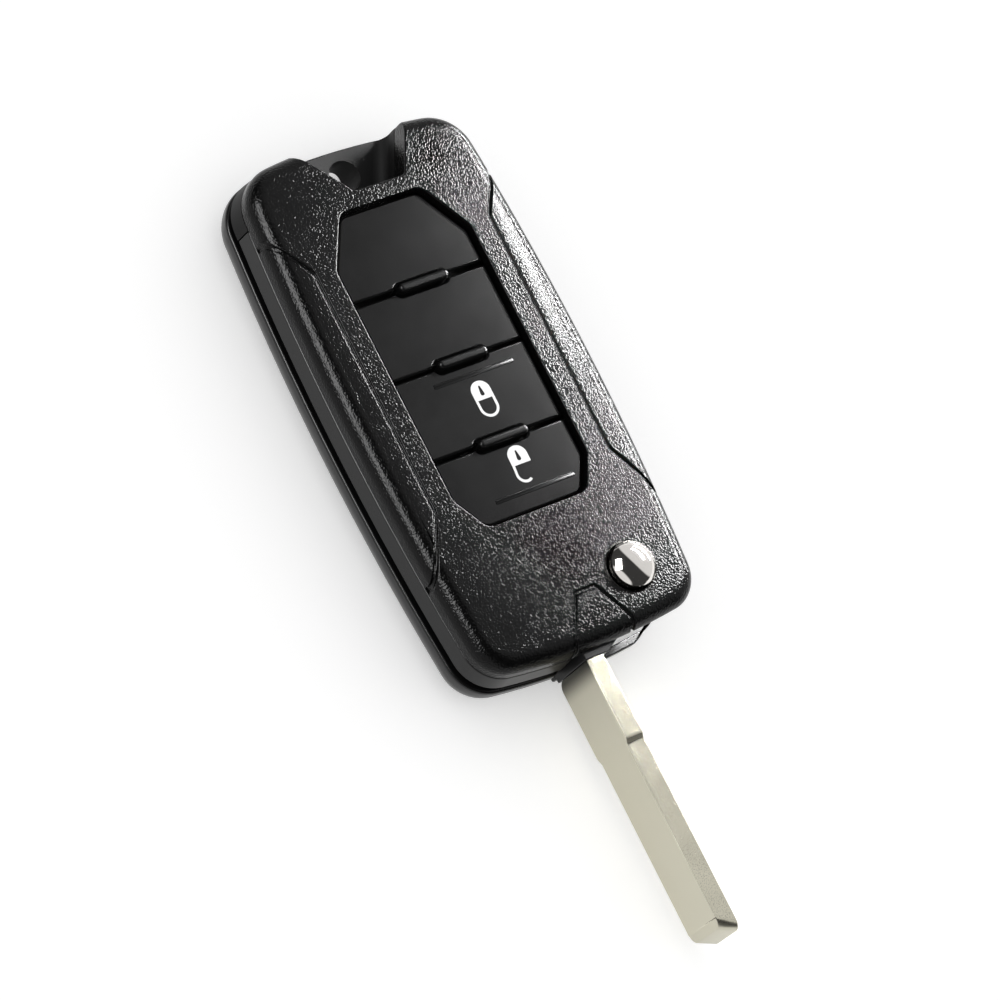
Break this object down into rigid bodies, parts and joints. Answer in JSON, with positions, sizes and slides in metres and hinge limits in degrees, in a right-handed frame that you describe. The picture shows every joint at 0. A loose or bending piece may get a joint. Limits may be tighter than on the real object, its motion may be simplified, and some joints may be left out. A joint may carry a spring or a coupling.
{
  "type": "flip key remote shell",
  "caption": "Folding car key shell: flat black case with a framed field pad and a blank blade that swings out of its side on a sprung hub.",
  "frame": {"origin": "centre of the case's flat back face", "axes": "+Z out of the front face, +Y to the key ring end with the open blade along -Y, +X towards the side that the blade folds into"},
  "size_m": [0.0359, 0.108, 0.015],
  "materials": {
    "case_plastic": "black, leather-grained outside",
    "pad_plastic": "black, satin",
    "bar_plastic": "black, glossy",
    "membrane_rubber": "dark grey, soft",
    "blade_metal": "warm nickel silver, satin",
    "hub_plastic": "black",
    "chrome_cap": "polished",
    "steel_small": "bright zinc"
  },
  "bodies": {
    "case": {"front_shell": "case_plastic", "rear_shell": "case_plastic", "back_cover": "case_plastic", "keyring_insert": "case_plastic", "key_frame": "bar_plastic", "blank_field_upper": "pad_plastic", "blank_field_lower": "pad_plastic", "key_membrane": "membrane_rubber", "spring_seat": "steel_small", "case_screw_1": "steel_small", "case_screw_2": "steel_small", "case_screw_3": "steel_small", "case_screw_4": "steel_small"},
    "blade": {"blade": "blade_metal", "blade_hub": "hub_plastic", "blade_pin": "steel_small", "flip_spring": "steel_small"},
    "release_button": {"release_button": "chrome_cap"},
    "lock_button": {"lock_button": "pad_plastic"},
    "unlock_button": {"unlock_button": "pad_plastic"}
  },
  "joints": [
    {"name": "blade_flip", "type": "hinge", "parent": "case", "child": "blade", "pos_m": [0.008, -0.0277, 0.0062], "axis": [0, 0, 1], "range_deg": [0, 180], "stiffness_Nm_per_rad": 0.004, "springref_deg": -34.38},
    {"name": "release_press", "type": "slide", "parent": "blade", "child": "release_button", "axis": [0, 0, -1], "range_m": [0, 0.0016], "stiffness_N_per_m": 800, "deforming": ["flip_spring"]},
    {"name": "lock_press", "type": "slide", "parent": "case", "child": "lock_button", "axis": [0, 0, -1], "range_m": [0, 0.0005], "stiffness_N_per_m": 2500},
    {"name": "unlock_press", "type": "slide", "parent": "case", "child": "unlock_button", "axis": [0, 0, -1], "range_m": [0, 0.0005], "stiffness_N_per_m": 2500}
  ]
}
